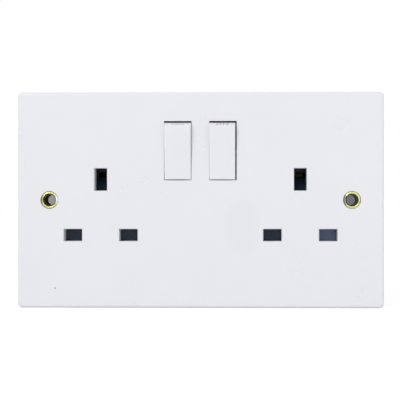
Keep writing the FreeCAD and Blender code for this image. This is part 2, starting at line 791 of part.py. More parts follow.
def build():
    nodes = {
        "front_plate": front_plate(),
        "housing": housing(),
        "rear_cover": rear_cover(),
        "line_bar": line_bar(),
        "neutral_bar": neutral_bar(),
        "earth_bar": earth_bar(),
        "terminal_screws": terminal_screws(),
        "cover_screws": cover_screws(),
    }
    for name, (x, z, way) in terminal_places().items():
        nodes[name] = terminal(x, z)
    for name, side in SIDES:
        nodes["eyelet_" + name] = eyelet(side * fixing_x)
        nodes["rocker_" + name] = rocker(name, side)
        nodes["rocker_spring_" + name] = rocker_spring(name, side)
        nodes["plunger_" + name] = plunger(name, side)
        nodes["moving_contact_" + name] = moving_contact(side)
        nodes["moving_tip_" + name] = moving_tip(side)
        nodes["fixed_tip_" + name] = fixed_tip(side)
        nodes["line_lead_" + name] = line_lead(side)
        nodes["earth_strap_" + name] = earth_strap(side)
        nodes["shutter_" + name] = shutter(side)
        nodes["shutter_spring_" + name] = shutter_spring(side)
    return nodes


os.makedirs("parts", exist_ok=True)
for node, shape in build().items():
    shape.exportStep("parts/" + node + ".step")
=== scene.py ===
import json
import math
import bpy
from mathutils import Matrix, Vector

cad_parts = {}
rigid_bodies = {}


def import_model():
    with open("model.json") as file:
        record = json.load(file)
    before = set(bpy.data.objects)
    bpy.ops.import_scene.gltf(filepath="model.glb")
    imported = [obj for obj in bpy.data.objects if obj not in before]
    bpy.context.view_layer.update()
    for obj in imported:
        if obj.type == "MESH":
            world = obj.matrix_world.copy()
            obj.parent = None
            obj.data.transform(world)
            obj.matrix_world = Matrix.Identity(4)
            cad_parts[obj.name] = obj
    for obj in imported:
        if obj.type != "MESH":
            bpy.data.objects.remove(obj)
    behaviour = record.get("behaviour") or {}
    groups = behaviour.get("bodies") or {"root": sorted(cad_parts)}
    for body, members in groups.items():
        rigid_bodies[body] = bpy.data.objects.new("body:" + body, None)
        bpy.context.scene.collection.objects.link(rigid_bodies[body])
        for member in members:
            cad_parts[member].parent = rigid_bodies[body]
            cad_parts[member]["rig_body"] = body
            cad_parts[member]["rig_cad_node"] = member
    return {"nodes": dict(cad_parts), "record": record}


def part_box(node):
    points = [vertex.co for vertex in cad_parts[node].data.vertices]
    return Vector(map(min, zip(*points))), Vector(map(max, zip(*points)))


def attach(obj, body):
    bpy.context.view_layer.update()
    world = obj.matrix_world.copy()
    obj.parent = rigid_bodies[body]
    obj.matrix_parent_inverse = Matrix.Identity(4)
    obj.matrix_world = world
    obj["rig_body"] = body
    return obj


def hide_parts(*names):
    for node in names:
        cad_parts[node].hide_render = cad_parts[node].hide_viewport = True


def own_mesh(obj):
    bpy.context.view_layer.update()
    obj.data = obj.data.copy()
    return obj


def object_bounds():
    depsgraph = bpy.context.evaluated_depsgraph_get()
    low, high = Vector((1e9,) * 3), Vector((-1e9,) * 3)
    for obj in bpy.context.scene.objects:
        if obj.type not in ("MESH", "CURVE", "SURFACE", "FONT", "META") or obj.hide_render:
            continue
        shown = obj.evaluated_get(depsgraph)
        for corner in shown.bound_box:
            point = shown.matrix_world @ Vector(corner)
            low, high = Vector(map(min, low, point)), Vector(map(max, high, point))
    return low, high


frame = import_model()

cad_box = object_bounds()

# FRONT PLATE
# A tray of white urea resin, pressed and cured in a heated mould, so that its face comes out flat
# and glossy with a rounded rim. The slots, rocker windows, screw bosses and shutter rails are all
# moulded in, and every other piece is carried by it.
mm = 0.001
weld_gap = 0.001 * mm
flat_within = math.radians(0.5)
eased_over = math.radians(30)
body_of_node = {node: body for body, nodes in frame["record"]["behaviour"]["bodies"].items()
                for node in nodes}


def metres(*sizes):
    """Sizes given in millimetres, in metres."""
    return tuple(size * mm for size in sizes)


def pick(obj):
    """Makes this the one selected object, and the active one."""
    bpy.ops.object.select_all(action="DESELECT")
    obj.select_set(True)
    bpy.context.view_layer.objects.active = obj


def named(name):
    """Gives the active object and its mesh a name, and hands it on."""
    piece = bpy.context.object
    piece.name = name
    piece.data.name = name
    return piece


def dressed(piece, body, finish):
    """Gives a piece its finish and lets it ride on a body."""
    piece.data.materials.clear()
    piece.data.materials.append(finish)
    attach(piece, body)


def fitted(piece, node, finish):
    """Dresses a piece and puts it in its solid's place, on its solid's body."""
    dressed(piece, body_of_node[node], finish)
    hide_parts(node)


def smoothed(piece, corner=50):
    """Shades round forms smooth, and keeps flat faces flat and corners over this angle sharp."""
    pick(piece)
    bpy.ops.object.shade_smooth_by_angle(angle=math.radians(corner))
    even = piece.modifiers.new("flat faces", "WEIGHTED_NORMAL")
    even.keep_sharp = True
    bpy.ops.object.modifier_apply(modifier=even.name)


def eased(node, name, edge, rounds=2):
    """Copy of a solid, merged, with the small rounding that a mould or press leaves on edges."""
    pick(frame["nodes"][node])
    bpy.ops.object.duplicate()
    piece = named(name)
    piece.parent = None
    del piece["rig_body"]
    del piece["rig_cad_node"]
    bpy.ops.mesh.customdata_custom_splitnormals_clear()
    bpy.ops.object.mode_set(mode="EDIT")
    bpy.ops.mesh.select_all(action="SELECT")
    bpy.ops.mesh.remove_doubles(threshold=weld_gap)
    bpy.ops.mesh.dissolve_limited(angle_limit=flat_within)
    bpy.ops.object.mode_set(mode="OBJECT")
    if edge > 0:
        bevel = piece.modifiers.new("eased edges", "BEVEL")
        bevel.width = edge
        bevel.segments = rounds
        bevel.limit_method = "ANGLE"
        bevel.angle_limit = eased_over
        bevel.use_clamp_overlap = False
        bpy.ops.object.modifier_apply(modifier=bevel.name)
    smoothed(piece)
    return piece


def noise(tree, place, pattern, detail):
    """Noise on the piece's own coordinates. pattern is (scale, stretch), and its patches are about
    1 / scale metres across."""
    scale, stretch = pattern
    mapping = tree.nodes.new("ShaderNodeMapping")
    mapping.inputs["Scale"].default_value = stretch
    texture = tree.nodes.new("ShaderNodeTexNoise")
    texture.inputs["Scale"].default_value = scale
    texture.inputs["Detail"].default_value = detail
    tree.links.new(place, mapping.inputs["Vector"])
    tree.links.new(mapping.outputs["Vector"], texture.inputs["Vector"])
    return texture.outputs["Fac"]


def surface(name, dark, light, pattern, rough, grain, relief, metal=0.0):
    """Finish whose colour and gloss drift with one pattern and whose skin has a finer relief.
    pattern and grain are (scale, stretch), rough is (least, most), relief is the grain's height."""
    material = bpy.data.materials.new(name)
    material.use_nodes = True
    tree = material.node_tree
    shader = tree.nodes["Principled BSDF"]
    shader.inputs["Metallic"].default_value = metal
    place = tree.nodes.new("ShaderNodeTexCoord").outputs["Object"]
    drift = noise(tree, place, pattern, detail=4.0)
    tone = tree.nodes.new("ShaderNodeValToRGB")
    tone.color_ramp.elements[0].position = 0.35
    tone.color_ramp.elements[0].color = (*dark, 1)
    tone.color_ramp.elements[1].position = 0.65
    tone.color_ramp.elements[1].color = (*light, 1)
    tree.links.new(drift, tone.inputs["Fac"])
    tree.links.new(tone.outputs["Color"], shader.inputs["Base Color"])
    gloss = tree.nodes.new("ShaderNodeMapRange")
    gloss.inputs["From Min"].default_value = 0.3
    gloss.inputs["From Max"].default_value = 0.7
    gloss.inputs["To Min"].default_value = rough[0]
    gloss.inputs["To Max"].default_value = rough[1]
    tree.links.new(drift, gloss.inputs["Value"])
    tree.links.new(gloss.outputs["Result"], shader.inputs["Roughness"])
    bump = tree.nodes.new("ShaderNodeBump")
    bump.inputs["Distance"].default_value = relief
    tree.links.new(noise(tree, place, grain, detail=2.0), bump.inputs["Height"])
    tree.links.new(bump.outputs["Normal"], shader.inputs["Normal"])
    return material


def stain(material, centre, reach, colour, strength):
    """Lays a spot of another colour over a finish, round one place on the piece. It has its full
    strength up to 0.4 of its reach, and fades from there."""
    tree = material.node_tree
    base = tree.nodes["Principled BSDF"].inputs["Base Color"]
    under = base.links[0].from_socket
    place = tree.nodes.new("ShaderNodeTexCoord").outputs["Object"]
    away = tree.nodes.new("ShaderNodeVectorMath")
    away.operation = "SUBTRACT"
    away.inputs[1].default_value = centre
    scaled = tree.nodes.new("ShaderNodeVectorMath")
    scaled.operation = "DIVIDE"
    scaled.inputs[1].default_value = reach
    span = tree.nodes.new("ShaderNodeVectorMath")
    span.operation = "LENGTH"
    share = tree.nodes.new("ShaderNodeMapRange")
    share.interpolation_type = "SMOOTHSTEP"
    share.inputs["From Min"].default_value = 0.4
    share.inputs["From Max"].default_value = 1.0
    share.inputs["To Min"].default_value = strength
    share.inputs["To Max"].default_value = 0.0
    over = tree.nodes.new("ShaderNodeMix")
    over.data_type = "RGBA"
    over.inputs["B"].default_value = (*colour, 1)
    tree.links.new(place, away.inputs[0])
    tree.links.new(away.outputs["Vector"], scaled.inputs[0])
    tree.links.new(scaled.outputs["Vector"], span.inputs[0])
    tree.links.new(span.outputs["Value"], share.inputs["Value"])
    tree.links.new(share.outputs["Result"], over.inputs["Factor"])
    tree.links.new(under, over.inputs["A"])
    tree.links.new(over.outputs["Result"], base)


EVEN = (1, 1, 1)
plate_edge = 0.1 * mm
gap_painted_shade = (0.09, 0.09, 0.10)
face_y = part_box("front_plate")[0].y
white_urea = surface("white urea", dark=(0.813, 0.817, 0.857), light=(0.822, 0.826, 0.866),
                     pattern=(45, EVEN), rough=(0.272, 0.288), grain=(900, EVEN),
                     relief=0.002 * mm)
# A speck in the lower left corner, a faintly darker patch near the middle, and painted shade on the
# right rocker window's outer side.
stain(white_urea, centre=(-58 * mm, face_y, -35.2 * mm), reach=metres(0.55, 0.55, 0.55),
      colour=(0.42, 0.40, 0.40), strength=0.8)
stain(white_urea, centre=(16.5 * mm, face_y, -10.5 * mm), reach=metres(9, 2, 15),
      colour=(0.74, 0.755, 0.78), strength=0.35)
stain(white_urea, centre=metres(14.8, -6.8, 19.7), reach=metres(0.9, 2.5, 13),
      colour=gap_painted_shade, strength=0.9)
fitted(eased("front_plate", "plate_moulding", plate_edge), "front_plate", white_urea)

# EYELETS
# Turned brass linings of the two fixing holes. Each is pushed in from the front until its lip
# beds in the face, and its tail is rolled over at the back to clinch the earth strap.
SIDES = (("left", -1), ("right", 1))
fixing_x = 60.3 * mm
tube_y = -4 * mm
lip_y = -9.4 * mm
turned = (2600, (1, 0.2, 1))
eyelet_brass = surface("eyelet brass", dark=(0.66, 0.67, 0.29), light=(0.80, 0.80, 0.42),
                       pattern=(700, EVEN), rough=(0.16, 0.30), grain=turned,
                       relief=0.006 * mm, metal=1.0)
# The bore is dull dark oxide, painted nearly black as painted shade deep in the hole.
bore_oxide_and_painted_shade = surface("bore oxide and painted shade", dark=(0.030, 0.028, 0.007), light=(0.070, 0.066, 0.018),
                     pattern=(700, EVEN), rough=(0.85, 0.95), grain=turned, relief=0.006 * mm)
bore_oxide_and_painted_shade.node_tree.nodes["Principled BSDF"].inputs["Specular IOR Level"].default_value = 0.1
# Painted light: the right bore is painted paler and more olive than the left.
stain(bore_oxide_and_painted_shade, centre=(fixing_x, tube_y, 0), reach=metres(9, 9, 9),
      colour=(0.14, 0.145, 0.05), strength=0.95)
# Painted shade and painted highlight on each lip: millimetres from the hole's middle, reach,
# colour, strength.
lip_shade_and_highlight = {"left": ((-3.55, 1.45, (0.27, 0.26, 0.18), 0.9), (3.5, 1.5, (0.90, 0.91, 0.86), 0.95)),
            "right": ((-3.1, 2.0, (0.29, 0.29, 0.21), 0.9), (3.75, 1.1, (0.38, 0.38, 0.33), 0.7))}
for side, hand in SIDES:
    # Painted shade: the brass is darkened towards black deeper in each hole.
    stain(eyelet_brass, centre=(hand * fixing_x, tube_y, 0), reach=metres(6.5, 5.4, 6.5),
          colour=(0.10, 0.105, 0.015), strength=0.94)
    for away, reach, colour, strength in lip_shade_and_highlight[side]:
        stain(eyelet_brass, centre=(hand * fixing_x + away * mm, lip_y, 0),
              reach=metres(reach, 1.6, 3.6), colour=colour, strength=strength)


def lathe(name, x, z, profile, sides=64, capped=False):
    """Piece turned about the line along Y at (x, z): a circle drawn from point to point of its
    (radius, depth) profile in millimetres. A ring's profile ends where it starts, and a capped
    piece has flat ends."""
    points = [metres(*point) for point in profile]
    radius, depth = points[0]
    bpy.ops.object.select_all(action="DESELECT")
    bpy.ops.mesh.primitive_circle_add(vertices=sides, radius=radius, location=(x, depth, z),
                                      rotation=(math.pi / 2, 0, 0),
                                      fill_type="NGON" if capped else "NOTHING")
    piece = named(name)
    bpy.ops.object.transform_apply(location=True, rotation=True, scale=True)
    bpy.ops.object.mode_set(mode="EDIT")
    bpy.ops.mesh.select_all(action="SELECT")
    for (r0, y0), (r1, y1) in zip(points, points[1:]):
        bpy.ops.mesh.extrude_edges_move(TRANSFORM_OT_translate={"value": (0, y1 - y0, 0)})
        bpy.ops.transform.resize(value=(r1 / r0, 1, r1 / r0), center_override=(x, y1, z))
    if capped:
        bpy.ops.mesh.edge_face_add()
    bpy.ops.mesh.select_all(action="SELECT")
    bpy.ops.mesh.remove_doubles(threshold=weld_gap)
    bpy.ops.mesh.normals_make_consistent(inside=False)
    bpy.ops.object.mode_set(mode="OBJECT")
    return piece


def copied(piece, name, shift):
    """A second one of a piece, with its own mesh, moved by shift."""
    pick(piece)
    bpy.ops.object.duplicate()
    twin = named(name)
    bpy.ops.transform.translate(value=shift)
    bpy.ops.object.transform_apply(location=True, rotation=True, scale=True)
    return twin


bore_profile = [(2.0, -0.72), (2.0, -6.4), (2.06, -7.2), (2.16, -8.0), (2.3, -8.75), (2.45, -9.25)]
lip_profile = [(2.62, -9.56), (2.8, -9.68), (3.0, -9.64), (3.2, -9.52), (3.38, -9.34),
               (3.46, -9.15), (3.46, -8.9)]
tail_profile = [(2.9, -8.9), (2.9, -1.4), (3.62, -1.4), (3.7, -1.25), (3.62, -0.9), (3.4, -0.74),
                (3.0, -0.72), (2.0, -0.72)]
bore_reach = 2.2 * mm
first_eyelet = lathe("eyelet_ring_left", -fixing_x, 0, bore_profile + lip_profile + tail_profile)
smoothed(first_eyelet)
second_eyelet = copied(first_eyelet, "eyelet_ring_right", (2 * fixing_x, 0, 0))
for eyelet, (side, hand) in zip((first_eyelet, second_eyelet), SIDES):
    fitted(eyelet, "eyelet_" + side, eyelet_brass)
    eyelet.data.materials.append(bore_oxide_and_painted_shade)
    for face in eyelet.data.polygons:
        if math.hypot(face.center.x - hand * fixing_x, face.center.z) < bore_reach:
            face.material_index = 1

# ROCKERS
# Hollow white urea buttons that tip on two moulded trunnions dropped into seats behind the plate.
# A stem behind each holds its spring and plunger. The ON mark is pad-printed on the upper end.
switch_x = 9.0 * mm
rocker_z = 19.48 * mm
rocker_shift = {"left": -0.01 * mm, "right": -0.24 * mm}
rocker_tip = math.radians(7)
rocker_edge = 0.08 * mm
pivot = Vector((0, -5 * mm, rocker_z))
rocker_urea = surface("rocker urea", dark=(0.815, 0.828, 0.872), light=(0.832, 0.845, 0.888),
                      pattern=(60, EVEN), rough=(0.20, 0.28), grain=(900, EVEN),
                      relief=0.003 * mm)
# Painted shade in the gap under each rocker, on its lower end and on the plate below its window,
# and along the right rocker's outer side.
for side, hand in SIDES:
    stain(rocker_urea, centre=(hand * switch_x + rocker_shift[side], -8.7 * mm, 7.95 * mm),
          reach=metres(8, 1.1, 0.6), colour=gap_painted_shade, strength=0.85)
    stain(white_urea, centre=(hand * switch_x, face_y, 7.86 * mm), reach=metres(6.8, 0.5, 0.42),
          colour=gap_painted_shade, strength=0.3)
stain(rocker_urea, centre=metres(13.94, -7, 19.7), reach=metres(0.6, 2.2, 13),
      colour=gap_painted_shade, strength=0.9)
mark_ink = {"left": surface("worn mark ink", dark=(0.50, 0.46, 0.46), light=(0.64, 0.61, 0.61),
                            pattern=(2500, EVEN), rough=(0.35, 0.5), grain=(6000, EVEN),
                            relief=0.002 * mm),
            "right": surface("mark ink", dark=(0.46, 0.28, 0.28), light=(0.62, 0.44, 0.43),
                             pattern=(2500, EVEN), rough=(0.35, 0.5), grain=(6000, EVEN),
                             relief=0.002 * mm)}
mark_size = 2.5 * mm
mark_thickness = 0.06 * mm
mark_stretch = 1.3
mark_angle = math.radians(29.5)
end_radius = 12.128 * mm


def set_down(piece, matrix):
    """Moves a finished piece to its place and leaves its object at the origin."""
    pick(piece)
    piece.matrix_world = matrix
    bpy.ops.object.transform_apply(location=True, rotation=True, scale=True)


def lettered(name, words, size, thickness):
    """Letters lying on the origin, face up, as a mesh of their own."""
    bpy.ops.object.select_all(action="DESELECT")
    bpy.ops.object.text_add(location=(0, 0, 0))
    text = bpy.context.object
    text.data.body = words
    text.data.size = size
    text.data.extrude = thickness / 2
    text.data.align_x = "CENTER"
    text.data.align_y = "CENTER"
    bpy.ops.object.convert(target="MESH")
    return named(name)


for side, hand in SIDES:
    rocker = eased("rocker_" + side, "rocker_button_" + side, rocker_edge)
    fitted(rocker, "rocker_" + side, rocker_urea)
    mark = lettered("on_mark_" + side, "ON", mark_size, mark_thickness)
    out = Vector((0, -math.sin(mark_angle), math.cos(mark_angle)))
    place = pivot + end_radius * out + Vector((hand * switch_x + rocker_shift[side], 0, 0))
    set_down(mark, Matrix.Translation(place) @ Matrix.Rotation(mark_angle, 4, "X")
             @ Matrix.Diagonal((mark_stretch, 1, 1, 1)))
    dressed(mark, "rocker_" + side, mark_ink[side])

# ROCKER SPRINGS AND PLUNGERS
# A coiled steel spring sits in each rocker's stem and drives a nylon plunger against the see-saw
# contact, so that the switch snaps over. The plunger is turned, with a rounded nose.
spring_wire = surface("spring wire", dark=(0.42, 0.42, 0.43), light=(0.58, 0.58, 0.59),
                      pattern=(900, EVEN), rough=(0.22, 0.36), grain=(5000, (1, 1, 0.1)),
                      relief=0.002 * mm, metal=1.0)
nylon = surface("natural nylon", dark=(0.66, 0.63, 0.54), light=(0.74, 0.72, 0.64),
                pattern=(300, EVEN), rough=(0.38, 0.5), grain=(2500, EVEN), relief=0.004 * mm)


def coil_spring(name, radius, wire, length, turns):
    """Compression spring standing on the origin along Z: a circle of wire swept up a helix."""
    wire_sides = 10
    steps_per_turn = 20
    bpy.ops.object.select_all(action="DESELECT")
    bpy.ops.mesh.primitive_circle_add(vertices=wire_sides, radius=wire / 2,
                                      location=(radius, 0, wire / 2),
                                      rotation=(math.pi / 2, 0, 0))
    spring = named(name)
    bpy.ops.object.transform_apply(location=True, rotation=True, scale=True)
    sweep = spring.modifiers.new("winding", "SCREW")
    sweep.axis = "Z"
    sweep.screw_offset = (length - wire) / turns
    sweep.iterations = turns
    sweep.steps = steps_per_turn
    sweep.render_steps = steps_per_turn
    bpy.ops.object.modifier_apply(modifier=sweep.name)
    bpy.ops.object.mode_set(mode="EDIT")
    bpy.ops.mesh.select_all(action="SELECT")
    bpy.ops.mesh.fill_holes(sides=0)
    bpy.ops.mesh.select_all(action="SELECT")
    bpy.ops.mesh.normals_make_consistent(inside=False)
    bpy.ops.object.mode_set(mode="OBJECT")
    bpy.ops.object.shade_smooth_by_angle(angle=math.radians(50))
    return spring


spring_seat = -9.13 * mm
spring_length = 10.13 * mm
spring_radius = 1.03 * mm
spring_thickness = 0.34 * mm
tipping = (Matrix.Translation(pivot) @ Matrix.Rotation(rocker_tip, 4, "X")
           @ Matrix.Translation(-pivot))
plunger_profile = [(1.0, 1.0), (1.2, 1.15), (1.2, 10.7), (1.1, 10.86), (0.9, 11.08), (0.65, 11.34),
                   (0.45, 11.48), (0.2, 11.55)]
for side, hand in SIDES:
    x = hand * switch_x + rocker_shift[side]
    seat = tipping @ Vector((x, spring_seat, rocker_z))
    spring = coil_spring("rocker_coil_" + side, spring_radius, spring_thickness, spring_length,
                         turns=11)
    set_down(spring, Matrix.Translation(seat) @ Matrix.Rotation(rocker_tip - math.pi / 2, 4, "X"))
    fitted(spring, "rocker_spring_" + side, spring_wire)
    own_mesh(spring)
    plunger = lathe("plunger_pin_" + side, x, rocker_z, plunger_profile, sides=32, capped=True)
    set_down(plunger, tipping)
    smoothed(plunger)
    fitted(plunger, "plunger_" + side, nylon)

# SHUTTERS AND THEIR SPRINGS
# Slate-grey moulded slides that shut the line and neutral slots. The earth pin pushes the ramp at
# the top of the arm and drives the slide down against its coil spring.
shutter_edge = 0.12 * mm
coil_radius = 1.1 * mm
coil_thickness = 0.4 * mm
slate = surface("slate resin", dark=(0.026, 0.040, 0.063), light=(0.036, 0.053, 0.080),
                pattern=(140, EVEN), rough=(0.36, 0.48), grain=(1400, EVEN), relief=0.006 * mm)
slate.node_tree.nodes["Principled BSDF"].inputs["Specular IOR Level"].default_value = 0.25
# Painted light: the right shutter is painted paler where it shows in the line slot.
stain(slate, centre=metres(50.9, -2.75, -14.4), reach=metres(7, 4, 6),
      colour=(0.135, 0.172, 0.262), strength=0.95)
for side, hand in SIDES:
    slide = eased("shutter_" + side, "shutter_slide_" + side, shutter_edge)
    fitted(slide, "shutter_" + side, slate)
    low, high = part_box("shutter_spring_" + side)
    foot = Vector(((low.x + high.x) / 2, (low.y + high.y) / 2, low.z))
    spring = coil_spring("shutter_coil_" + side, coil_radius, coil_thickness, high.z - low.z,
                         turns=9)
    set_down(spring, Matrix.Translation(foot))
    fitted(spring, "shutter_spring_" + side, spring_wire)
    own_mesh(spring)

# CONTACT HOUSING
# Dark phenolic moulding that stands on the plate's frame. Its deck has a way for every pin, and its
# back has a pocket for every bar, lead, clip and terminal. Its edges are sharp.
phenolic = surface("dark phenolic", dark=(0.030, 0.030, 0.033), light=(0.048, 0.047, 0.050),
                   pattern=(500, EVEN), rough=(0.42, 0.55), grain=(1800, EVEN), relief=0.008 * mm)
fitted(eased("housing", "housing_moulding", edge=0), "housing", phenolic)

# BARS AND LEADS
# Blanked and folded from hard brass strip: one neutral bar and one earth bar with their pin clips,
# the line feed bar, and a lead for each outlet that ends in the see-saw's saddle. The earth clips,
# which stand open behind their slots, are painted nearly black as painted shade in the earth slots.
outlet_x = 39.8 * mm
strip_edge = 0.1 * mm
strip_brass = surface("strip brass", dark=(0.42, 0.31, 0.13), light=(0.55, 0.42, 0.20),
                      pattern=(120, (1, 6, 6)), rough=(0.30, 0.44), grain=(1500, (0.05, 1, 1)),
                      relief=0.005 * mm, metal=1.0)
# Painted shade: behind each earth slot the brass is darkened nearly to black.
for side, hand in SIDES:
    stain(strip_brass, centre=(hand * outlet_x, 9 * mm, 9 * mm), reach=metres(12, 18, 15),
          colour=(0.055, 0.046, 0.031), strength=0.96)
for node in ("line_bar", "neutral_bar", "earth_bar", "line_lead_left", "line_lead_right"):
    fitted(eased(node, node + "_strip", strip_edge), node, strip_brass)

# SEE-SAW CONTACTS AND TIPS
# Each switch closes through a rocking brass strip with a silver tip, which meets a second silver
# tip riveted to the feed bar. The tips are coined square with rounded edges.
tip_edge = 0.22 * mm
coin_silver = surface("coin silver", dark=(0.60, 0.59, 0.56), light=(0.80, 0.79, 0.77),
                      pattern=(900, EVEN), rough=(0.28, 0.45), grain=(3000, EVEN),
                      relief=0.006 * mm, metal=1.0)
for side, hand in SIDES:
    blade = eased("moving_contact_" + side, "seesaw_blade_" + side, strip_edge)
    fitted(blade, "moving_contact_" + side, strip_brass)
    for node in ("moving_tip_" + side, "fixed_tip_" + side):
        fitted(eased(node, node + "_pad", tip_edge, rounds=3), node, coin_silver)

# TERMINALS AND THEIR SCREWS
# Brass blocks sawn from drawn bar, with a tunnel for the wires and a tapped hole from behind. The
# plated steel screws have slotted heads and stand backed off.
block_edge = 0.1 * mm
bar_brass = surface("drawn brass", dark=(0.53, 0.38, 0.14), light=(0.68, 0.51, 0.22),
                    pattern=(400, (1, 1, 0.2)), rough=(0.26, 0.4), grain=(2200, (1, 1, 0.06)),
                    relief=0.006 * mm, metal=1.0)
plated_steel = surface("plated steel", dark=(0.50, 0.50, 0.49), light=(0.66, 0.66, 0.66),
                       pattern=(600, EVEN), rough=(0.24, 0.38), grain=(2600, EVEN),
                       relief=0.005 * mm, metal=1.0)
for node in ("line_terminal", "neutral_terminal", "earth_terminal_left", "earth_terminal_right"):
    fitted(eased(node, node + "_block", block_edge), node, bar_brass)


def cut_slot(piece, centre, size, turn):
    """Saws a straight slot into a screw's head."""
    bpy.ops.object.select_all(action="DESELECT")
    bpy.ops.mesh.primitive_cube_add(size=1, location=centre, rotation=(0, turn, 0), scale=size)
    saw = bpy.context.object
    bpy.ops.object.transform_apply(location=True, rotation=True, scale=True)
    pick(piece)
    cut = piece.modifiers.new("slot", "BOOLEAN")
    cut.operation = "DIFFERENCE"
    cut.solver = "EXACT"
    cut.object = saw
    bpy.ops.object.modifier_apply(modifier=cut.name)
    bpy.data.objects.remove(saw)


def threaded(radius, y0, y1, pitch, depth):
    """Profile of a threaded shank between two depths, as (radius, depth) crests and roots."""
    count = int((y1 - y0) / pitch)
    points = []
    for i in range(count):
        points += [(radius - depth, y0 + (i + 0.1) * pitch), (radius, y0 + (i + 0.5) * pitch)]
    return points + [(radius - depth, y1)]


def screw_set(name, profile, places, cuts, cut_size, cut_y):
    """One object of like screws: the turned screw copied to each place (x, z and turn, in
    millimetres and degrees), with a slot sawn at each of the cuts' angles."""
    first = lathe(name, 0, 0, profile, sides=40, capped=True)
    screws = []
    for x, z, turn in places:
        screw = copied(first, f"{name}_{len(screws)}", (x * mm, 0, z * mm))
        for angle in cuts:
            cut_slot(screw, (x * mm, cut_y, z * mm), cut_size, math.radians(turn + angle))
        smoothed(screw, corner=40)
        screws.append(screw)
    bpy.data.objects.remove(first)
    bpy.ops.object.select_all(action="DESELECT")
    for screw in screws:
        screw.select_set(True)
    bpy.context.view_layer.objects.active = screws[0]
    bpy.ops.object.join()
    return named(name + "_set")


low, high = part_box("terminal_screws")
head_height = 2 * mm
tip = low.y / mm
seat = (high.y - head_height) / mm
head = [(1.7, seat), (2.75, seat), (2.9, seat + 0.15), (2.9, seat + 1.7), (2.75, seat + 1.92),
        (2.4, high.y / mm)]
shank = threaded(radius=1.95, y0=tip + 0.4, y1=seat, pitch=0.7, depth=0.28)
terminal_places = ((0.0, 28.446, 20), (0.0, -23.0, 65), (-23.85, 8.2, 110), (23.85, 8.2, 40))
screws = screw_set("terminal_screw", [(1.3, tip)] + shank + head, terminal_places, cuts=(0,),
                   cut_size=metres(8, 1.8, 0.9), cut_y=high.y)
fitted(screws, "terminal_screws", plated_steel)

# EARTH STRAPS
# Thin soft brass straps that tie the earth bar to the eyelets, folded round the housing's end and
# clinched under the rolled tail of each eyelet.
strap_edge = 0.06 * mm
strap_brass = surface("strap brass", dark=(0.60, 0.44, 0.17), light=(0.72, 0.56, 0.26),
                      pattern=(160, EVEN), rough=(0.22, 0.34), grain=(1500, (1, 1, 0.05)),
                      relief=0.004 * mm, metal=1.0)
for side, hand in SIDES:
    fitted(eased("earth_strap_" + side, "earth_strip_" + side, strap_edge), "earth_strap_" + side,
           strap_brass)

# REAR COVER AND ITS SCREWS
# Dark phenolic lid that shuts the contacts in, with a hole over each terminal screw and its letter
# moulded beside it. Three cross-headed screws pass through it into the plate's bosses.
cover_edge = 0.04 * mm
letter_size = 4.6 * mm
letter_thickness = 0.4 * mm
letter_rise = 0.1 * mm
lid_phenolic = surface("lid phenolic", dark=(0.034, 0.034, 0.037), light=(0.054, 0.053, 0.056),
                       pattern=(420, EVEN), rough=(0.40, 0.52), grain=(1600, EVEN),
                       relief=0.010 * mm)
fitted(eased("rear_cover", "cover_moulding", cover_edge), "rear_cover", lid_phenolic)
low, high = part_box("cover_screws")
head_height = 1.6 * mm
cover_y = high.y - head_height
facing_back = Matrix.Rotation(math.pi, 4, "Z") @ Matrix.Rotation(math.pi / 2, 4, "X")
letter_places = (("L", 7.2, 28.4), ("N", 7.2, -23.0), ("E", -31.0, 8.2), ("E", 31.0, 8.2))
for i, (letter, x, z) in enumerate(letter_places):
    raised = lettered(f"cover_letter_{i}", letter, letter_size, letter_thickness)
    place = (x * mm, cover_y + letter_rise, z * mm)
    set_down(raised, Matrix.Translation(place) @ facing_back)
    dressed(raised, "socket", lid_phenolic)

tip = low.y / mm
seat = cover_y / mm
head = [(1.2, seat), (2.6, seat), (2.7, seat + 0.2), (2.6, seat + 0.8), (2.1, seat + 1.35),
        (1.3, high.y / mm)]
shank = threaded(radius=1.45, y0=tip + 2.2, y1=seat, pitch=1.1, depth=0.3)
cover_places = ((-50, 24, 15), (50, 24, 52), (0, -10, 80))
screws = screw_set("cover_screw", [(0.5, tip)] + shank + head, cover_places, cuts=(0, 90),
                   cut_size=metres(2.9, 1.9, 0.6), cut_y=high.y)
fitted(screws, "cover_screws", plated_steel)

# FLOOR, LIGHT AND CAMERA
# The part stands on its lower edge on a pale sweep, under a broad soft light from the upper left
# with a weaker fill from the right, seen from a little to the right of its middle.
scene = bpy.context.scene
scene.view_settings.view_transform = "Standard"
floor_size = 6
room_light = 0.71
mirrored_left = 0.75
mirrored_right = 1.15
floor_lift = 0.85
floor_glow = 1.06


def seen_directly(tree):
    """1 for rays from the camera and for those that clear pieces pass on, 0 for light."""
    path = tree.nodes.new("ShaderNodeLightPath")
    either = tree.nodes.new("ShaderNodeMath")
    either.operation = "MAXIMUM"
    tree.links.new(path.outputs["Is Camera Ray"], either.inputs[0])
    tree.links.new(path.outputs["Is Transmission Ray"], either.inputs[1])
    return either.outputs["Value"]


def clear_from_behind(tree, front):
    """Shows a shader on the front of a surface and nothing on its back."""
    share = tree.nodes.new("ShaderNodeMixShader")
    facing = tree.nodes.new("ShaderNodeNewGeometry")
    clear = tree.nodes.new("ShaderNodeBsdfTransparent")
    tree.links.new(facing.outputs["Backfacing"], share.inputs["Fac"])
    tree.links.new(front, share.inputs[1])
    tree.links.new(clear.outputs["BSDF"], share.inputs[2])
    tree.links.new(share.outputs["Shader"], tree.nodes["Material Output"].inputs["Surface"])


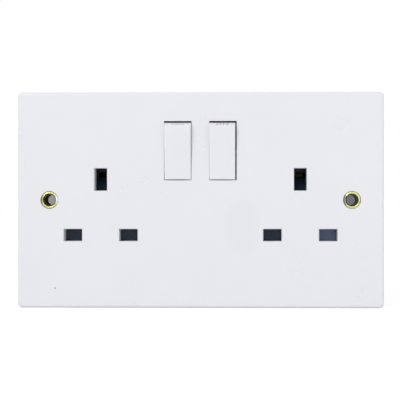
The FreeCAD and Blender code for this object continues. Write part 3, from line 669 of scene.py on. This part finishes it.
world = bpy.data.worlds.new("white sweep")
scene.world = world
world.use_nodes = True
tree = world.node_tree
room = tree.nodes["Background"]
room.inputs["Color"].default_value = (1, 1, 1, 1)
aim = tree.nodes.new("ShaderNodeSeparateXYZ")
sky = tree.nodes.new("ShaderNodeTexCoord")
path = tree.nodes.new("ShaderNodeLightPath")
mirrored = tree.nodes.new("ShaderNodeMapRange")
mirrored.inputs["From Min"].default_value = -1.0
mirrored.inputs["To Min"].default_value = mirrored_left
mirrored.inputs["To Max"].default_value = mirrored_right
level = tree.nodes.new("ShaderNodeMix")
level.inputs["A"].default_value = room_light
tree.links.new(sky.outputs["Generated"], aim.inputs["Vector"])
tree.links.new(aim.outputs["X"], mirrored.inputs["Value"])
tree.links.new(path.outputs["Is Glossy Ray"], level.inputs["Factor"])
tree.links.new(mirrored.outputs["Result"], level.inputs["B"])
tree.links.new(level.outputs["Result"], room.inputs["Strength"])
white = tree.nodes.new("ShaderNodeBackground")
white.inputs["Color"].default_value = (1, 1, 1, 1)
white.inputs["Strength"].default_value = 1.0
share = tree.nodes.new("ShaderNodeMixShader")
tree.links.new(seen_directly(tree), share.inputs["Fac"])
tree.links.new(room.outputs["Background"], share.inputs[1])
tree.links.new(white.outputs["Background"], share.inputs[2])
tree.links.new(share.outputs["Shader"], tree.nodes["World Output"].inputs["Surface"])

bpy.ops.object.select_all(action="DESELECT")
bpy.ops.mesh.primitive_plane_add(size=floor_size, location=(0, 0, cad_box[0][2]))
floor = bpy.context.object
floor.name = "floor"
bpy.ops.object.transform_apply(location=True, rotation=True, scale=True)
pale = bpy.data.materials.new("pale floor")
pale.use_nodes = True
tree = pale.node_tree
matt = tree.nodes["Principled BSDF"]
matt.inputs["Base Color"].default_value = (0.92, 0.92, 0.92, 1)
matt.inputs["Roughness"].default_value = 0.8
matt.inputs["Specular IOR Level"].default_value = 0.0
glow = tree.nodes.new("ShaderNodeEmission")
glow.inputs["Strength"].default_value = floor_glow
lift = tree.nodes.new("ShaderNodeMath")
lift.operation = "MULTIPLY"
lift.inputs[1].default_value = floor_lift
share = tree.nodes.new("ShaderNodeMixShader")
tree.links.new(seen_directly(tree), lift.inputs[0])
tree.links.new(lift.outputs["Value"], share.inputs["Fac"])
tree.links.new(matt.outputs["BSDF"], share.inputs[1])
tree.links.new(glow.outputs["Emission"], share.inputs[2])
clear_from_behind(tree, share.outputs["Shader"])
floor.data.materials.append(pale)

# Painted shade behind the part: a disc glowing a fixed grey stands in for shaded ground, seen
# through each fixing hole.
# Each disc lies just behind its eyelet's tail and is clear from behind.
shade_radius = 2.6 * mm
shade_y = -0.4 * mm
shade_grey = {"left": (0.30, 0.295, 0.29), "right": (0.16, 0.155, 0.19)}
for side, hand in SIDES:
    bpy.ops.object.select_all(action="DESELECT")
    bpy.ops.mesh.primitive_circle_add(vertices=32, radius=shade_radius,
                                      location=(hand * fixing_x, shade_y, 0),
                                      rotation=(math.pi / 2, 0, 0), fill_type="NGON")
    shade = bpy.context.object
    shade.name = "shade_behind_" + side
    bpy.ops.object.transform_apply(location=True, rotation=True, scale=True)
    dim = bpy.data.materials.new("shade " + side)
    dim.use_nodes = True
    tree = dim.node_tree
    tree.nodes.remove(tree.nodes["Principled BSDF"])
    glow = tree.nodes.new("ShaderNodeEmission")
    glow.inputs["Color"].default_value = (*shade_grey[side], 1)
    clear_from_behind(tree, glow.outputs["Emission"])
    shade.data.materials.append(dim)


def soft_light(name, place, size, power):
    """A large square lamp that faces the middle of the part."""
    bpy.ops.object.select_all(action="DESELECT")
    bpy.ops.object.light_add(type="AREA", location=place)
    lamp = bpy.context.object
    lamp.name = name
    lamp.data.size = size
    lamp.data.energy = power
    lamp.rotation_euler = (-Vector(place)).to_track_quat("-Z", "Y").to_euler()


soft_light("key", place=(-1.12, -2.12, 1.5), size=1.0, power=21.0)
soft_light("fill", place=(0.45, -0.6, -0.05), size=0.8, power=0.75)

picture_width = 400 / 2.514 * mm
sensor_width = 36
stand_off = 450 * mm
camera_x = 20 * mm
aim_x = 11.1 * mm
picture_x = -0.12 * mm
camera_data = bpy.data.cameras.new("camera")
camera = bpy.data.objects.new("camera", camera_data)
scene.collection.objects.link(camera)
camera_data.sensor_width = sensor_width
camera_data.lens = sensor_width * stand_off / picture_width
camera_data.shift_x = (picture_x - aim_x) / picture_width
camera.location = (camera_x, face_y - stand_off, 0)
camera.rotation_euler = (math.pi / 2, 0, math.atan2(camera_x - aim_x, stand_off))
scene.camera = camera
